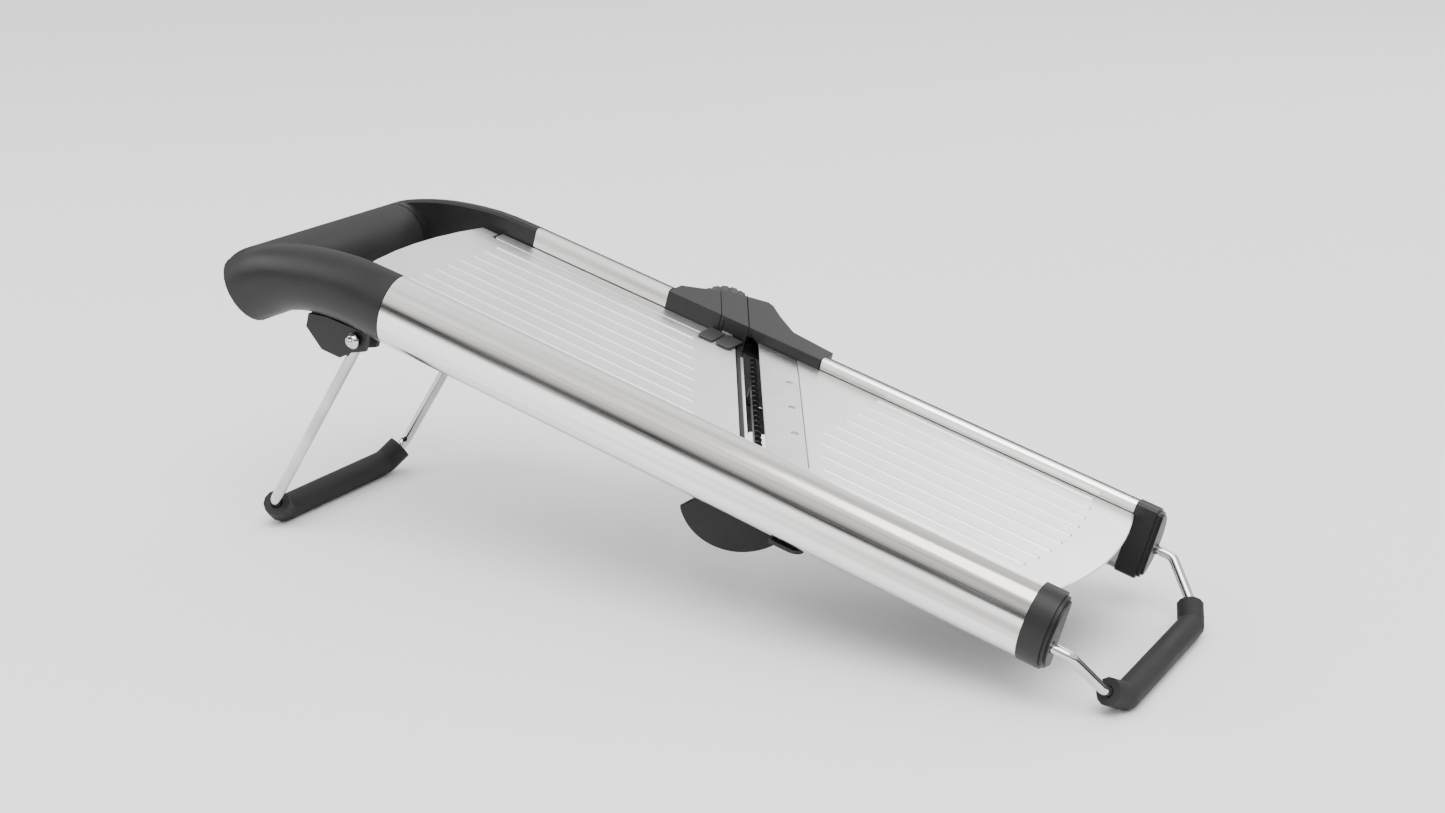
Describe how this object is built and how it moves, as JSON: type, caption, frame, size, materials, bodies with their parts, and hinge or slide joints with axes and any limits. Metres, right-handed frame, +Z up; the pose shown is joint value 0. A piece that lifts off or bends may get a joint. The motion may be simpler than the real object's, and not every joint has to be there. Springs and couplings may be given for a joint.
{
  "type": "mandoline_slicer",
  "caption": "Folding-leg mandoline slicer with polished rails, ribbed steel decks, a diagonal blade, a thickness dial, a turning julienne comb and a curved black handle.",
  "frame": {"origin": "On the ground, under the middle of the bounding box", "axes": "+X from the handle to the low foot, +Y towards the dial side, +Z up"},
  "size_m": [0.4154, 0.1542, 0.1359],
  "materials": {
    "polished_steel": "polished stainless steel with long soft streaks",
    "satin_steel": "satin stainless sheet, brushed along its length",
    "blade_steel": "ground blade steel",
    "chrome_wire": "bright chrome plated wire and screws",
    "black_plastic": "charcoal moulded plastic with a soft sheen",
    "soft_grip": "soft overmoulded grip",
    "gray_plastic": "mid-gray moulded plastic",
    "matte_black": "deep matte black plastic",
    "black_rubber": "matte black rubber sleeve"
  },
  "bodies": {
    "frame": {"near_rail": "polished_steel", "far_rail_rear": "polished_steel", "far_rail_front": "polished_steel", "near_ledge": "satin_steel", "far_ledge": "satin_steel", "near_end_cap": "black_plastic", "far_end_cap": "black_plastic", "handle_frame": "black_plastic", "handle_grip": "soft_grip", "leg_bridge": "black_plastic", "near_bridge_screw": "chrome_wire", "far_bridge_screw": "chrome_wire", "landing_deck": "satin_steel", "landing_tray": "black_plastic", "far_housing": "black_plastic", "dial_cover": "black_plastic", "blade_bed": "black_plastic", "near_comb_bush": "gray_plastic", "far_comb_bush": "gray_plastic", "front_foot_wire": "chrome_wire", "front_foot_sleeve": "black_rubber"},
    "runway": {"runway_plate": "satin_steel", "runway_frame": "black_plastic", "runway_nose": "black_plastic", "lift_arm": "satin_steel", "lift_arm_cap": "gray_plastic", "guide_shoe": "gray_plastic"},
    "dial": {"dial_wheel": "gray_plastic", "dial_grip_ring": "gray_plastic", "dial_cap": "gray_plastic", "dial_shaft": "chrome_wire", "lift_cam": "gray_plastic"},
    "blade": {"blade_plate": "blade_steel", "blade_holder": "black_plastic", "blade_handle": "black_plastic", "blade_rivet_1": "chrome_wire", "blade_rivet_2": "chrome_wire", "blade_rivet_3": "chrome_wire"},
    "comb": {"julienne_comb": "black_plastic", "near_comb_hub": "gray_plastic", "far_comb_hub": "gray_plastic", "comb_knob": "matte_black", "comb_shaft": "chrome_wire", "comb_knob_screw": "chrome_wire"},
    "rear_leg": {"rear_leg_wire": "chrome_wire", "rear_foot_sleeve": "black_rubber", "near_pivot_cap": "chrome_wire", "far_pivot_cap": "chrome_wire"}
  },
  "joints": [
    {"name": "thickness_dial", "type": "hinge", "parent": "frame", "child": "dial", "pos_m": [-0.03603, 0.06514, 0.08818], "axis": [-0.5023, 0.8536, 0.1384], "range_deg": [-92, 160]},
    {"name": "runway_drop", "type": "slide", "parent": "frame", "child": "runway", "axis": [-0.2656, 0, -0.9641], "range_m": [-0.00306, 0.00533]},
    {"name": "blade_slide", "type": "slide", "parent": "frame", "child": "blade", "axis": [-0.5023, 0.8536, 0.1384], "range_m": [0, 0.1]},
    {"name": "comb_turn", "type": "hinge", "parent": "frame", "child": "comb", "pos_m": [0.01814, -0.01373, 0.05946], "axis": [-0.5023, 0.8536, 0.1384], "range_deg": [0, 45]},
    {"name": "rear_leg_fold", "type": "hinge", "parent": "frame", "child": "rear_leg", "pos_m": [-0.14034, -0.01373, 0.09792], "axis": [0, -1, 0], "range_deg": [0, 104]}
  ],
  "couplings": [
    {"joint": "thickness_dial", "follows": "runway_drop", "rad_per_m": 523.56}
  ]
}
